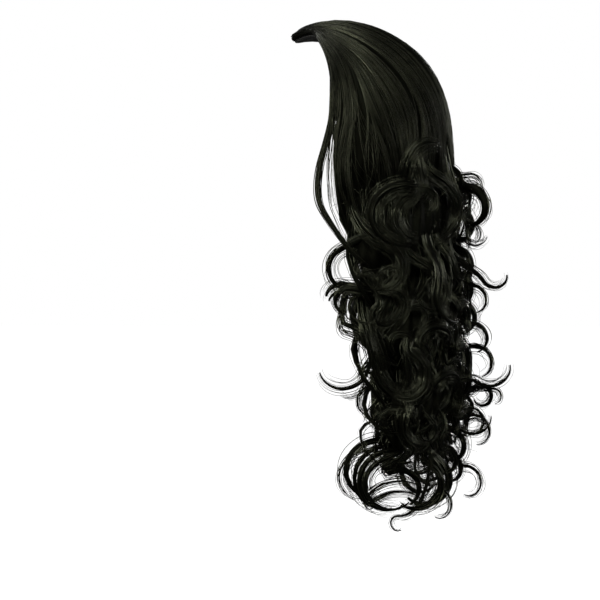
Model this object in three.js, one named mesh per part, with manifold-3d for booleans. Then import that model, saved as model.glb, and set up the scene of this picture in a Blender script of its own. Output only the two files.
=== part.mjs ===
// Half wig: a cap, a comb under its front edge, a smooth crown of combed hair and long loose curls.
// Millimetres and degrees. +Z is up, the wearer looks along -Y, and +X is the wearer's left.
// The origin is the top of the head, on the inside of the cap.
import * as THREE from 'three';
import { mergeVertices } from 'three/addons/utils/BufferGeometryUtils.js';
import Module from 'manifold-3d';

const wasm = await Module();
wasm.setup();

// Driving dimensions
const HEAD = { halfWidth: 76, halfLength: 97, halfHeight: 96 };
const CAP = { wall: 1.5, tilt: 38.5, rows: 8, turns: 32 };
const COMB = { teeth: 8, spread: 20, front: 68, spine: 5, end: 46, tooth: 0.45, clear: 1.3, depth: 1.8 };
const CROWN = { spread: 91, fan: 0.3, sweep: 0.22, columns: 30, rows: 10, lining: 2.9, ridge: 1.4, brim: 1 };
const PIECE_GAP = 0.4;
const EAR_LEVEL = -HEAD.halfHeight;

// Edge of the cap: its angle from the dome's axis at turns round that axis from the front peak to the nape
const RIM = [
  { turn: 0, reach: 82.5 },
  { turn: 6, reach: 81 },
  { turn: 12, reach: 76.5 },
  { turn: 20, reach: 71.5 },
  { turn: 30, reach: 68 },
  { turn: 42, reach: 66.5 },
  { turn: 54, reach: 67.5 },
  { turn: 66, reach: 71.5 },
  { turn: 76, reach: 77 },
  { turn: 90, reach: 88 },
  { turn: 110, reach: 87 },
  { turn: 140, reach: 84.5 },
  { turn: 180, reach: 83.5 },
];

// Depth of the combed hair over the head, from the front edge (way 0) to ear level (way 1)
const COMBED_DEPTH = [
  { way: 0, top: 3.4, side: 3.4 },
  { way: 0.07, top: 7.5, side: 5 },
  { way: 0.18, top: 10, side: 6.5 },
  { way: 0.5, top: 6.8, side: 6.8 },
  { way: 0.8, top: 9, side: 7.2 },
  { way: 1, top: 10.5, side: 8 },
];

// Outside of the hanging hair at falling heights: half width over the sides, Y of the side locks,
// Y of the back, how thick the hair hangs, and how deep its waves are
const FALL = [
  { height: -96, halfWidth: 84, front: 0, back: 107.5, wall: 6, wave: 0 },
  { height: -140, halfWidth: 88, front: 4, back: 113, wall: 9, wave: 1 },
  { height: -190, halfWidth: 91, front: 8, back: 118, wall: 14, wave: 4 },
  { height: -240, halfWidth: 92, front: 14, back: 119, wall: 18, wave: 7 },
  { height: -300, halfWidth: 92, front: 21, back: 119, wall: 20, wave: 8 },
  { height: -360, halfWidth: 87, front: 33, back: 119, wall: 20, wave: 8 },
  { height: -420, halfWidth: 78, front: 33, back: 113, wall: 15, wave: 7 },
  { height: -480, halfWidth: 62, front: 30, back: 100, wall: 5, wave: 4 },
];
const CURTAIN = { bottom: -428, scallop: 14, scallops: 5, spread: 88, columns: 22, rows: 12 };
const WAVES = { length: 92, slant: 3.5 };
const PARTING = { angle: 32.6 };

// Ways in which a hanging lock curls: loop radius, number of turns, and how far the plane of the
// loops is leaned up from level and swung round from facing outwards
const CURLS = [
  { radius: 13, turns: 2.4, lean: 40, swing: 0 },
  { radius: 17, turns: 2.0, lean: 65, swing: 65 },
  { radius: 14, turns: 2.6, lean: 50, swing: -30 },
  { radius: 18, turns: 1.9, lean: 70, swing: 20 },
  { radius: 13, turns: 2.3, lean: 25, swing: 80 },
];

// The row of long locks round the outside of the hanging hair
const LOCKS = { inset: 3, from: -82, to: 82, count: 11, bottom: -456, stagger: 34 };
const LOCK = { top: -130, root: 7, width: 13, thick: 9, tip: 1.4, sides: 5, sections: 18, curlStart: 0.12 };

// Loose curls that stand out of the outline, each an arc in a plane facing the side of the head:
// centre, radius, start and end angle from straight back, thickness, and the root it grows from
const SIDE_CURLS = {
  back: [
    { x: 6, y: 127, z: -176, radius: 20, start: 105, end: -85, thick: 5.5, rootY: 108, rootZ: -150 },
    { x: -4, y: 152, z: -246, radius: 13, start: -150, end: 15, thick: 4, rootY: 112, rootZ: -216 },
    { x: 14, y: 131, z: -272, radius: 15, start: 70, end: -80, thick: 3, rootY: 112, rootZ: -238 },
    { x: -12, y: 126, z: -311, radius: 17, start: 85, end: -70, thick: 3.4, rootY: 108, rootZ: -286 },
    { x: 4, y: 134, z: -334, radius: 17, start: 95, end: -75, thick: 3.2, rootY: 108, rootZ: -308 },
    { x: 12, y: 149, z: -334, radius: 22, start: -130, end: 5, thick: 3.4, rootY: 110, rootZ: -346 },
    { x: -6, y: 138, z: -368, radius: 10, start: 140, end: -170, thick: 3, rootY: 108, rootZ: -352 },
    { x: 2, y: 132, z: -385, radius: 19, start: -175, end: 5, thick: 3, rootY: 108, rootZ: -362 },
    { x: -8, y: 122, z: -446, radius: 16, start: 95, end: -90, thick: 3.6, rootY: 104, rootZ: -414 },
    { x: 20, y: 84, z: -456, radius: 27, start: 60, end: -140, thick: 4.6, rootY: 99, rootZ: -412 },
    { x: 29, y: 59, z: -491, radius: 8, start: 90, end: 330, thick: 2.8, rootY: 97, rootZ: -416 },
  ],
  left: [
    { x: 62, y: 50, z: -446, radius: 33, start: 70, end: 290, thick: 5, rootY: 74, rootZ: -400 },
    { x: 85, y: 24, z: -239, radius: 21, start: 120, end: 285, thick: 3.4, rootY: 34, rootZ: -196 },
    { x: 82, y: 16, z: -272, radius: 9, start: 60, end: 300, thick: 6, rootY: 44, rootZ: -256 },
    { x: 80, y: 14, z: -337, radius: 23, start: -15, end: -165, thick: 3.4, rootY: 44, rootZ: -304 },
  ],
  right: [
    { x: -60, y: 58, z: -446, radius: 30, start: 80, end: 280, thick: 5, rootY: 75, rootZ: -404 },
    { x: -85, y: 26, z: -252, radius: 20, start: 120, end: 285, thick: 3.4, rootY: 36, rootZ: -210 },
    { x: -80, y: 16, z: -326, radius: 22, start: -15, end: -165, thick: 3.4, rootY: 44, rootZ: -294 },
  ],
};
const SIDE_CURL_SECTIONS = 8;
// How far the side curls of a group move across for each millimetre along the head, taken in turn
const SIDE_CURL_SLANTS = { left: [-0.4], back: [0.7, -0.7], right: [0.4] };

// The thin lock in front of each ear: its way down from the crown and its thickness
const EAR_LOCK = [
  { x: 80.2, y: -0.8, z: -96.9, thick: 3 },
  { x: 84, y: -4.6, z: -120, thick: 3.4 },
  { x: 87, y: -9.6, z: -143, thick: 3.8 },
  { x: 89, y: -11, z: -163, thick: 3.8 },
  { x: 92, y: -8, z: -180, thick: 3.6 },
  { x: 95, y: 1.4, z: -196, thick: 3 },
  { x: 98, y: 12, z: -212, thick: 1.4 },
];

const BLACK_HAIR = { color: 0x141511, roughness: 0.42, metalness: 0 };
const BLACK_NET = { color: 0x191a18, roughness: 0.85, metalness: 0 };
const BLACK_PLASTIC = { color: 0x0d0d0e, roughness: 0.35, metalness: 0 };

const radians = THREE.MathUtils.degToRad;
const vector = (x, y, z) => new THREE.Vector3(x, y, z);
const inMedianPlane = (angle) => vector(0, Math.cos(radians(angle)), Math.sin(radians(angle)));

// Value of a column of a table, straight between its rows
function column(table, key, at, name) {
  const falling = table[0][key] > table[table.length - 1][key];
  const past = table.findIndex((row) => (falling ? row[key] <= at : row[key] >= at));
  if (past === 0) return table[0][name];
  if (past < 0) return table[table.length - 1][name];
  const [a, b] = [table[past - 1], table[past]];
  return THREE.MathUtils.mapLinear(at, a[key], b[key], a[name], b[name]);
}

// A fixed number from 0 to 1 for each count, so that no two locks are alike
const spread01 = (count) => {
  const wave = Math.sin(count * 12.9898 + 4.1) * 43758.5453;
  return wave - Math.floor(wave);
};

// A point outside the head along a unit direction, with one depth over the sides and one elsewhere
const overHead = (unit, side, top) =>
  vector(
    unit.x * (HEAD.halfWidth + side),
    unit.y * (HEAD.halfLength + top),
    unit.z * (HEAD.halfHeight + top) - HEAD.halfHeight,
  );

// Unit direction at an angle from the dome's axis, turned round it from the front
const domeAxis = inMedianPlane(CAP.tilt);
const domeFront = inMedianPlane(CAP.tilt + 90);
function onDome(fromAxis, turn) {
  const level = domeFront.clone().multiplyScalar(Math.cos(radians(turn)));
  level.x += Math.sin(radians(turn));
  return level
    .multiplyScalar(Math.sin(radians(fromAxis)))
    .addScaledVector(domeAxis, Math.cos(radians(fromAxis)));
}

const reachOf = (turn) => column(RIM, 'turn', Math.abs(turn), 'reach');

// Combed way of the hair: the shortest arc from the front edge to ear level at an angle from the back,
// swept back a little towards the sides so that it keeps behind the edge of the cap
function combedWay(angle, way) {
  const turn = CROWN.fan * angle;
  const start = onDome(reachOf(turn) + CROWN.brim, turn);
  const end = vector(Math.sin(radians(angle)), Math.cos(radians(angle)), 0);
  const arc = start.angleTo(end);
  const combed = start
    .multiplyScalar(Math.sin((1 - way) * arc))
    .addScaledVector(end, Math.sin(way * arc))
    .divideScalar(Math.sin(arc));
  combed.y += CROWN.sweep * Math.sin(way * Math.PI) * (angle / 90) ** 2;
  return combed.normalize();
}

// A point of the hanging hair at an angle from the back, set in from its outside
function hanging(angle, height, inset) {
  const [sin, cos] = [Math.sin(radians(angle)), Math.cos(radians(angle))];
  const front = column(FALL, 'height', height, 'front');
  const reach = column(FALL, 'height', height, 'back') - front;
  const outwards = vector(sin, cos, 0);
  return vector(column(FALL, 'height', height, 'halfWidth') * sin, front + reach * cos, height)
    .addScaledVector(outwards, -inset);
}

// A closed solid through rings of equal count, with each end ring joined straight across
function loft(rings) {
  const count = rings[0].length;
  const last = (rings.length - 1) * count;
  const index = [];
  const quad = (a, b, c, d) => {
    index.push(a, b, c);
    if (c !== d && d !== a) index.push(a, c, d);
  };
  rings.slice(1).forEach((_, row) => {
    for (let i = 0; i < count; i += 1) {
      const next = (i + 1) % count;
      const [low, high] = [row * count, (row + 1) * count];
      quad(low + i, low + next, high + next, high + i);
    }
  });
  for (let i = 0; i + 1 <= count - 2 - i; i += 1) {
    quad(i, count - 1 - i, count - 2 - i, i + 1);
    quad(last + count - 1 - i, last + i, last + i + 1, last + count - 2 - i);
  }
  const positions = rings.flat().flatMap((p) => p.toArray());
  const made = new THREE.BufferGeometry();
  made.setAttribute('position', new THREE.Float32BufferAttribute(positions, 3));
  made.setIndex(index);
  return made;
}

// Signed volume of a closed geometry, negative where its faces point inwards
function volumeOf(geometry) {
  const position = geometry.getAttribute('position');
  const [a, b, c] = [vector(), vector(), vector()];
  const order = geometry.index.array;
  let volume = 0;
  for (let i = 0; i < order.length; i += 3) {
    a.fromBufferAttribute(position, order[i]);
    b.fromBufferAttribute(position, order[i + 1]);
    c.fromBufferAttribute(position, order[i + 2]);
    volume += a.dot(b.cross(c)) / 6;
  }
  return volume;
}

// Closed geometry to solid for joining and cutting, and back
function solidOf(geometry) {
  const bare = new THREE.BufferGeometry().setAttribute('position', geometry.getAttribute('position'));
  bare.setIndex(geometry.index);
  const merged = mergeVertices(bare, 1e-4);
  const triVerts = new Uint32Array(merged.index.array);
  if (volumeOf(merged) < 0) triVerts.reverse();
  const vertProperties = merged.getAttribute('position').array;
  return new wasm.Manifold(new wasm.Mesh({ numProp: 3, vertProperties, triVerts }));
}

function geometryOf(solid) {
  const mesh = solid.getMesh();
  const made = new THREE.BufferGeometry();
  made.setAttribute('position', new THREE.BufferAttribute(mesh.vertProperties, mesh.numProp));
  made.setIndex(new THREE.BufferAttribute(mesh.triVerts, 1));
  return made;
}

const joined = (solids) => solids.reduce((all, one) => all.add(one));
const largest = (solid) =>
  solid.decompose().reduce((best, one) => (one.volume() > best.volume() ? one : best));

// Cap: a dome turned about its own axis, drawn in to its edge, then stretched to the head
function capGeometry() {
  const angles = Array.from({ length: CAP.rows + 1 }, (_, i) => (Math.PI / 2) * (i / CAP.rows));
  const onAxis = (angle, radius) =>
    new THREE.Vector2(Math.sin(angle) * radius, Math.cos(angle) * radius);
  const outside = 1 + CAP.wall / HEAD.halfLength;
  const profile = [
    ...angles.map((angle) => onAxis(angle, 1)),
    ...angles.reverse().map((angle) => onAxis(angle, outside)),
  ];
  const dome = new THREE.LatheGeometry(profile, CAP.turns);
  const position = dome.getAttribute('position');
  for (let i = 0; i < position.count; i += 1) {
    const at = vector().fromBufferAttribute(position, i);
    const radius = at.length();
    const share = Math.acos(THREE.MathUtils.clamp(at.y / radius, -1, 1)) / (Math.PI / 2);
    const turn = THREE.MathUtils.radToDeg(Math.atan2(at.x, at.z));
    const drawn = overHead(onDome(share * reachOf(turn), turn).multiplyScalar(radius), 0, 0);
    position.setXYZ(i, drawn.x, drawn.y, drawn.z);
  }
  return geometryOf(solidOf(dome));
}

// A bar of the comb under the cap, across the given turns and between two angles from the dome's axis
function combBar(turns, from, to) {
  const top = COMB.clear;
  const bottom = COMB.clear + COMB.depth;
  const ring = (turn) => {
    const corner = (fromAxis, depth) => overHead(onDome(fromAxis, turn), -depth, -depth);
    return [corner(from, top), corner(to, top), corner(to, bottom), corner(from, bottom)];
  };
  return loft(turns.map(ring));
}

// Comb: a curved spine with teeth that lie back along the head
function combGeometry() {
  const pitch = (2 * COMB.spread) / COMB.teeth;
  const turns = Array.from({ length: COMB.teeth + 1 }, (_, i) => -COMB.spread + pitch * i);
  const spine = solidOf(combBar(turns, COMB.front, COMB.front - COMB.spine));
  const overlap = 1;
  const teeth = turns.slice(0, -1).map((turn) => {
    const middle = turn + pitch / 2;
    const half = (pitch * COMB.tooth) / 2;
    const root = COMB.front - COMB.spine + overlap;
    return solidOf(combBar([middle - half, middle + half], root, COMB.end));
  });
  return geometryOf(joined([spine, ...teeth]));
}

// Crown: combed hair over the cap, from the rolled front edge to ear level, ridged as it is combed
function crownGeometry() {
  const ways = Array.from({ length: CROWN.rows + 1 }, (_, i) => (i / CROWN.rows) ** 1.25);
  const rings = Array.from({ length: CROWN.columns + 1 }, (_, i) => {
    const angle = -CROWN.spread + (2 * CROWN.spread * i) / CROWN.columns;
    const ridge = i % 2 ? CROWN.ridge : 0;
    const outside = ways.map((way) => {
      const side = column(COMBED_DEPTH, 'way', way, 'side') - ridge;
      const top = column(COMBED_DEPTH, 'way', way, 'top') - ridge;
      return overHead(combedWay(angle, way), side, top);
    });
    const inside = ways.map((way) => overHead(combedWay(angle, way), CROWN.lining, CROWN.lining));
    return [...outside, ...inside.reverse()];
  });
  return loft(rings);
}

// Hanging hair below ear level: a thick waved curtain round the back and sides, which the curls grow out of
function curtain() {
  const top = EAR_LEVEL - PIECE_GAP;
  const rings = Array.from({ length: CURTAIN.columns + 1 }, (_, i) => {
    const angle = THREE.MathUtils.lerp(-CURTAIN.spread, CURTAIN.spread, i / CURTAIN.columns);
    const bottom = CURTAIN.bottom + CURTAIN.scallop * Math.cos(radians(angle) * 2 * CURTAIN.scallops);
    const heights = Array.from({ length: CURTAIN.rows + 1 }, (_, row) =>
      THREE.MathUtils.lerp(top, bottom, row / CURTAIN.rows),
    );
    const waved = (height) => {
      const turn = (height / WAVES.length) * Math.PI * 2 + radians(angle) * WAVES.slant;
      return column(FALL, 'height', height, 'wave') * Math.sin(turn);
    };
    const outside = heights.map((height) => hanging(angle, height, waved(height)));
    const inside = heights.map((height) =>
      hanging(angle, height, waved(height) + column(FALL, 'height', height, 'wall')),
    );
    return [...outside, ...inside.reverse()];
  });
  return loft(rings);
}

// A lock along a row of points: oval rings across its way, each held flat to a facing direction
function lock(points, facings, widths, thicknesses) {
  const rings = points.map((point, i) => {
    const along = points[Math.min(i + 1, points.length - 1)].clone().sub(points[Math.max(i - 1, 0)]);
    const across = along.clone().cross(facings[i]).normalize();
    const outwards = across.clone().cross(along).normalize();
    return Array.from({ length: LOCK.sides }, (_, side) => {
      const turn = (side / LOCK.sides) * Math.PI * 2;
      return point
        .clone()
        .addScaledVector(across, Math.cos(turn) * widths[i])
        .addScaledVector(outwards, Math.sin(turn) * thicknesses[i]);
    });
  });
  return loft(rings);
}

// A hanging lock that swings out into loops
function hangingLock(angle, bottom, curl, phase, hand) {
  const shares = Array.from({ length: LOCK.sections + 1 }, (_, i) => i / LOCK.sections);
  const outwards = vector(Math.sin(radians(angle)), Math.cos(radians(angle)), 0);
  const sideways = vector(outwards.y, -outwards.x, 0);
  const [swing, lean] = [radians(curl.swing), radians(curl.lean)];
  const first = outwards.clone().multiplyScalar(Math.cos(swing)).addScaledVector(sideways, Math.sin(swing));
  const level = sideways.clone().multiplyScalar(Math.cos(swing)).addScaledVector(outwards, -Math.sin(swing));
  const second = level.multiplyScalar(Math.cos(lean)).add(vector(0, 0, Math.sin(lean)));
  const facings = [];
  const points = shares.map((share) => {
    const height = THREE.MathUtils.lerp(LOCK.top, bottom, share);
    const grown = THREE.MathUtils.smoothstep(share, LOCK.curlStart, LOCK.curlStart + 0.3);
    const turn = hand * Math.PI * 2 * curl.turns * Math.max(0, share - LOCK.curlStart) + phase;
    const loop = first.clone().multiplyScalar(Math.cos(turn)).addScaledVector(second, Math.sin(turn));
    facings.push(outwards.clone().lerp(loop, grown));
    const inset = THREE.MathUtils.lerp(LOCK.root, LOCKS.inset, THREE.MathUtils.smoothstep(share, 0, 0.25));
    return hanging(angle, height, inset).addScaledVector(loop, curl.radius * grown);
  });
  const swelling = (share) => 0.55 + 0.45 * THREE.MathUtils.smoothstep(share, 0, 0.25);
  const taper = (full) =>
    shares.map((share) => THREE.MathUtils.lerp(full, LOCK.tip, share ** 3) * swelling(share));
  return lock(points, facings, taper(LOCK.width), taper(LOCK.thick));
}

// A loose curl: from its root into an arc seen from the side of the head
function sideCurl(curl, slant) {
  const steps = Array.from({ length: SIDE_CURL_SECTIONS + 1 }, (_, i) => i / SIDE_CURL_SECTIONS);
  const slanted = (y, z) => vector(curl.x + slant * (y - curl.y), y, z);
  const way = [slanted(curl.rootY, curl.rootZ)];
  const arcPoints = 6;
  for (let i = 0; i <= arcPoints; i += 1) {
    const turn = radians(THREE.MathUtils.lerp(curl.start, curl.end, i / arcPoints));
    way.push(slanted(curl.y + Math.cos(turn) * curl.radius, curl.z + Math.sin(turn) * curl.radius));
  }
  const route = new THREE.CatmullRomCurve3(way, false, 'centripetal');
  const points = steps.map((step) => route.getPointAt(step));
  const facings = points.map(() => vector(1, 0, 0));
  const sizes = steps.map((step) => THREE.MathUtils.lerp(curl.thick, LOCK.tip, step ** 2));
  return lock(points, facings, sizes, sizes);
}

// The hanging hair between two angles from the back, and how it is parted from its neighbours:
// the sides of the upright parting planes that it keeps to
const GROUPS = [
  { name: 'left', from: 40, to: 90, keeps: [{ x: 1, y: -1 }] },
  { name: 'back', from: -40, to: 40, keeps: [{ x: -1, y: 1 }, { x: 1, y: 1 }] },
  { name: 'right', from: -90, to: -40, keeps: [{ x: -1, y: -1 }] },
];

// Every lock of a group of curls, as solids
function groupLocks(group) {
  const solids = [];
  for (let i = 0; i < LOCKS.count; i += 1) {
    const angle = THREE.MathUtils.lerp(LOCKS.from, LOCKS.to, i / (LOCKS.count - 1));
    if (angle < group.from || angle > group.to) continue;
    const bottom = LOCKS.bottom - LOCKS.stagger * (spread01(i) - 0.5);
    const phase = spread01(i + 100) * Math.PI * 2;
    const hand = angle < 0 ? -1 : 1;
    solids.push(solidOf(hangingLock(angle, bottom, CURLS[i % CURLS.length], phase, hand)));
  }
  const slants = SIDE_CURL_SLANTS[group.name];
  SIDE_CURLS[group.name].forEach((curl, i) => {
    solids.push(solidOf(sideCurl(curl, slants[i % slants.length])));
  });
  return solids;
}

// A group of curls: the smooth hair and the locks joined, kept to its own side of the partings
function curlGroup(group) {
  const whole = joined([solidOf(curtain()), ...groupLocks(group)]);
  const [across, along] = [Math.cos(radians(PARTING.angle)), Math.sin(radians(PARTING.angle))];
  const parted = group.keeps.reduce(
    (hair, side) => hair.trimByPlane([side.x * across, side.y * along, 0], PIECE_GAP / 2),
    whole,
  );
  return geometryOf(largest(parted));
}

// Ear lock: a thin lock hanging in front of the ear, mirrored for the right side
function earLock(hand) {
  const points = EAR_LOCK.map((row) => vector(row.x * hand, row.y, row.z));
  const facings = points.map(() => vector(hand, 0, 0));
  const widths = EAR_LOCK.map((row) => row.thick);
  const thicknesses = EAR_LOCK.map((row) => row.thick * 0.6);
  return lock(points, facings, widths, thicknesses);
}

function named(name, geometry, finish) {
  if (volumeOf(geometry) < 0) geometry.index.array.reverse();
  geometry.computeVertexNormals();
  const mesh = new THREE.Mesh(geometry, new THREE.MeshStandardMaterial(finish));
  mesh.name = name;
  return mesh;
}

const wig = new THREE.Group();
wig.add(named('cap', capGeometry(), BLACK_NET));
wig.add(named('front_comb', combGeometry(), BLACK_PLASTIC));
wig.add(named('crown_hair', crownGeometry(), BLACK_HAIR));
GROUPS.forEach((group) => wig.add(named(`${group.name}_curls`, curlGroup(group), BLACK_HAIR)));
wig.add(named('left_ear_lock', earLock(1), BLACK_HAIR));
wig.add(named('right_ear_lock', earLock(-1), BLACK_HAIR));

export default wig;
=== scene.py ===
import math

import bpy
import numpy as np
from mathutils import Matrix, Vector


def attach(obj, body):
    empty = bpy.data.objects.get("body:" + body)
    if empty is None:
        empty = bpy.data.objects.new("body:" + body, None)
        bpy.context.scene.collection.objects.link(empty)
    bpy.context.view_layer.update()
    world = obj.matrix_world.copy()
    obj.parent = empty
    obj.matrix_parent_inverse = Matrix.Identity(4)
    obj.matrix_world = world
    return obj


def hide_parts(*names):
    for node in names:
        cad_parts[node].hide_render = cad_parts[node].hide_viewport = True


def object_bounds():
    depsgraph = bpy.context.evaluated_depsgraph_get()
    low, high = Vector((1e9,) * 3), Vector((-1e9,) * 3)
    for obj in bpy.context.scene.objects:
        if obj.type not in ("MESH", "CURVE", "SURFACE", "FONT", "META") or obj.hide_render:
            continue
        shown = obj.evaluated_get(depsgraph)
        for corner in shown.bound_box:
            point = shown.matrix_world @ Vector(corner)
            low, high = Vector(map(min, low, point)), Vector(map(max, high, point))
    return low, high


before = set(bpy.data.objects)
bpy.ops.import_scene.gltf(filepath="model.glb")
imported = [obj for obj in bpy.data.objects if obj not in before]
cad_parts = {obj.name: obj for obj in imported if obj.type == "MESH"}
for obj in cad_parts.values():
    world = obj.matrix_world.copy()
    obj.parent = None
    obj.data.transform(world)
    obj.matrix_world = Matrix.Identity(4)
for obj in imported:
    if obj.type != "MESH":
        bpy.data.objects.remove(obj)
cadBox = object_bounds()
print("frame loaded")

# Every shape below is worked out in millimetres and degrees, and makeMesh turns it into metres.
toMetres = 0.001
dome = {"halfWidth": 76, "halfLength": 97, "halfHeight": 96, "tilt": 38.5}
rim = {
    "turn": [0, 6, 12, 20, 30, 42, 54, 66, 76, 90, 110, 140, 180],
    "reach": [82.5, 81, 76.5, 71.5, 68, 66.5, 67.5, 71.5, 77, 88, 87, 84.5, 83.5],
}
combed = {
    "way": [0, 0.07, 0.18, 0.5, 0.8, 1],
    "top": [9, 14, 9.6, 6.2, 9, 10.5],
    "side": [3.4, 5, 6.5, 6.8, 7.2, 8],
    "blur": [-0.08, -0.04, 0, 0.04, 0.08],
    "fan": 0.3, "sweep": 0.22, "upright": 0.55, "uprightFrom": (60, 90), "clear": 2.1,
    "brim": -0.4, "overhang": 2.0, "overhangIn": (1, 9), "overhangOut": (11, 24),
}
fall = {
    "drop": [96, 140, 190, 240, 300, 360, 420, 480],
    "halfWidth": [84, 88, 91, 92, 92, 87, 78, 62],
    "front": [0, 4, 8, 14, 21, 33, 33, 30],
    "back": [107.5, 113, 118, 119, 119, 119, 113, 100],
    "wave": [0, 1, 4, 7, 8, 8, 7, 4],
    "blur": [-24, -12, 0, 12, 24],
    "waveLength": 92, "waveSlant": 3.5, "round": 95, "joinDepth": 12,
}
curlClose = 0.22  # how far a curl's arc closes by its end
tubeFlutes = 5
strandSides = 3
firstSide = [0.36, 0.48, 0.8]  # any direction that no strand starts along


# The value that lies the given share of the way from a to b.
def mix(a, b, share):
    return a + (b - a) * share


# An eased step: 0 below low, 1 above high, and three squares less two cubes of the share between them.
def smooth(value, low, high):
    share = np.clip((value - low) / (high - low), 0, 1)
    return share * share * (3 - 2 * share)


# Rays divided by their own length.
def unit(rays):
    return rays / np.maximum(np.linalg.norm(rays, axis=-1, keepdims=True), 1e-9)


# Three arrays side by side as x, y and z.
def vectors(x, y, z):
    return np.stack(np.broadcast_arrays(x, y, z), -1).astype(float)


# The level directions straight out from the middle and along the fall, at a heading from the back.
def outAndAlong(angle):
    heading = np.radians(angle)
    outwards = vectors(np.sin(heading), np.cos(heading), 0 * heading)
    return outwards, vectors(np.cos(heading), -np.sin(heading), 0 * heading)


# A column of the fall table at any height, averaged over its blur so that no row shows as a kink.
def fallAt(name, height):
    near = np.array(fall["blur"], float) - np.asarray(height)[..., None]
    return np.interp(near, fall["drop"], fall[name]).mean(-1)


# A direction from the dome's middle: fromAxis away from its tilted axis, turned round it from the front.
def onDome(fromAxis, turn):
    tilt = math.radians(dome["tilt"])
    away, bearing = np.radians(fromAxis), np.radians(turn)
    flat = np.cos(bearing) * np.sin(away)
    y = flat * math.cos(tilt + math.pi / 2) + np.cos(away) * math.cos(tilt)
    z = flat * math.sin(tilt + math.pi / 2) + np.cos(away) * math.sin(tilt)
    return vectors(np.sin(bearing) * np.sin(away), y, z)


# How far the rim lies from the dome's axis at any turn: straight between the rim's rows, alike on both sides.
def reachOf(turn):
    return np.interp(np.abs((turn + 180) % 360 - 180), rim["turn"], rim["reach"])


# A point on the dome's ellipsoid, swelled by side across and by top along and up.
def overDome(way, side, top):
    x, y, z = np.moveaxis(way, -1, 0)
    high = dome["halfHeight"]
    return vectors(x * (dome["halfWidth"] + side), y * (dome["halfLength"] + top), z * (high + top) - high)


# The combed direction: the great circle from the front edge to the hairline below, swept back in its middle.
def combedWay(angle, way):
    c = combed
    angle, way = np.broadcast_arrays(angle, way)
    turn = c["fan"] * angle
    beside = smooth(np.abs(turn), *c["overhangIn"]) * (1 - smooth(np.abs(turn), *c["overhangOut"]))
    start = onDome(reachOf(turn) + (c["brim"] + c["overhang"] * beside), turn)
    end = outAndAlong(angle)[0]
    between = np.arccos(np.clip((start * end).sum(-1), -1, 1))[..., None]
    share = way[..., None]
    found = (np.sin((1 - share) * between) * start + np.sin(share * between) * end) / np.sin(between)
    swept = (angle / 90) ** 2 * (1 - c["upright"] * smooth(np.abs(angle), *c["uprightFrom"]))
    found[..., 1] += c["sweep"] * np.sin(np.pi * way) ** 2 * swept
    return unit(found)


# How far the combed hair stands off the dome along its way, at the sides and on top, averaged over its blur.
def combedDepth(way):
    near = np.asarray(way)[..., None] + np.array(combed["blur"])
    side = np.interp(near, combed["way"], combed["side"]).mean(-1)
    top = np.interp(near, combed["way"], combed["top"]).mean(-1)
    return side, top


# A point of the combed hair: its direction, swelled by the depth there and by a lift of its own.
def onCrown(angle, way, lift):
    side, top = combedDepth(way)
    return overDome(combedWay(angle, way), side + lift, top + lift)


# Each point moved halfway to the middle of its neighbours along the path, several times.
def eased(paths, times):
    for _ in range(times):
        middle = (paths[:, :-2] + paths[:, 2:]) / 2
        paths = np.concatenate([paths[:, :1], (paths[:, 1:-1] + middle) / 2, paths[:, -1:]], 1)
    return paths


# The outside of the hanging hair: a half ellipse at each height, moved in by inset.
def hanging(angle, height, inset):
    heading = np.radians(angle)
    front = fallAt("front", height)
    x = (fallAt("halfWidth", height) - inset) * np.sin(heading)
    y = front + (fallAt("back", height) - front) * np.cos(heading) - inset * np.cos(heading)
    return vectors(x, y, height)


# A curl in a plane: a cubic lead that drops from its root into the start of an arc, and then the arc, which
# closes with the square of the share.
def curlPlane(rows, share):
    start, end = np.radians(rows["start"]), np.radians(rows["end"])
    radius, across, up = rows["radius"], rows["across"], rows["up"]
    firstA, firstU = across + radius * np.cos(start), up + radius * np.sin(start)
    reach = np.hypot(firstA - rows["rootAcross"], firstU - rows["rootUp"])
    arc = np.abs(end - start) * radius
    part = reach / (reach + arc)
    lead, bend = np.clip(share / part, 0, 1), np.clip((share - part) / (1 - part), 0, 1)
    hand = np.sign(end - start)
    slopeA, slopeU = -np.sin(start) * hand * reach, np.cos(start) * hand * reach
    keepRoot = 2 * lead ** 3 - 3 * lead ** 2 + 1
    keepSlope, keepDrop = lead ** 3 - lead ** 2, lead ** 3 - 2 * lead ** 2 + lead
    leadA = keepRoot * rows["rootAcross"] + (1 - keepRoot) * firstA + keepSlope * slopeA
    leadU = keepRoot * rows["rootUp"] + (1 - keepRoot) * firstU + keepSlope * slopeU - keepDrop * reach
    turn = start + (end - start) * bend
    closing = radius * (1 - curlClose * bend ** 2)
    arcA, arcU = across + closing * np.cos(turn), up + closing * np.sin(turn)
    onLead = share < part
    return np.where(onLead, leadA, arcA), np.where(onLead, leadU, arcU)


# Across a path and outwards from its curl: the curl's axis made square to the path, and their product.
def framesOf(paths, axis):
    along = unit(np.gradient(paths, axis=-2))
    across = unit(axis - (axis * along).sum(-1, keepdims=True) * along)
    return across, np.cross(along, across)


# A frame carried along each path from its first section, turned no more than the path turns.
def carriedFrames(paths):
    along = unit(np.gradient(paths, axis=-2))
    across = np.empty_like(paths)
    across[:, 0] = unit(np.cross(along[:, 0], firstSide))
    for section in range(1, paths.shape[1]):
        step, ahead = across[:, section - 1], along[:, section]
        across[:, section] = unit(step - (step * ahead).sum(-1, keepdims=True) * ahead)
    return across, np.cross(along, across)


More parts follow.
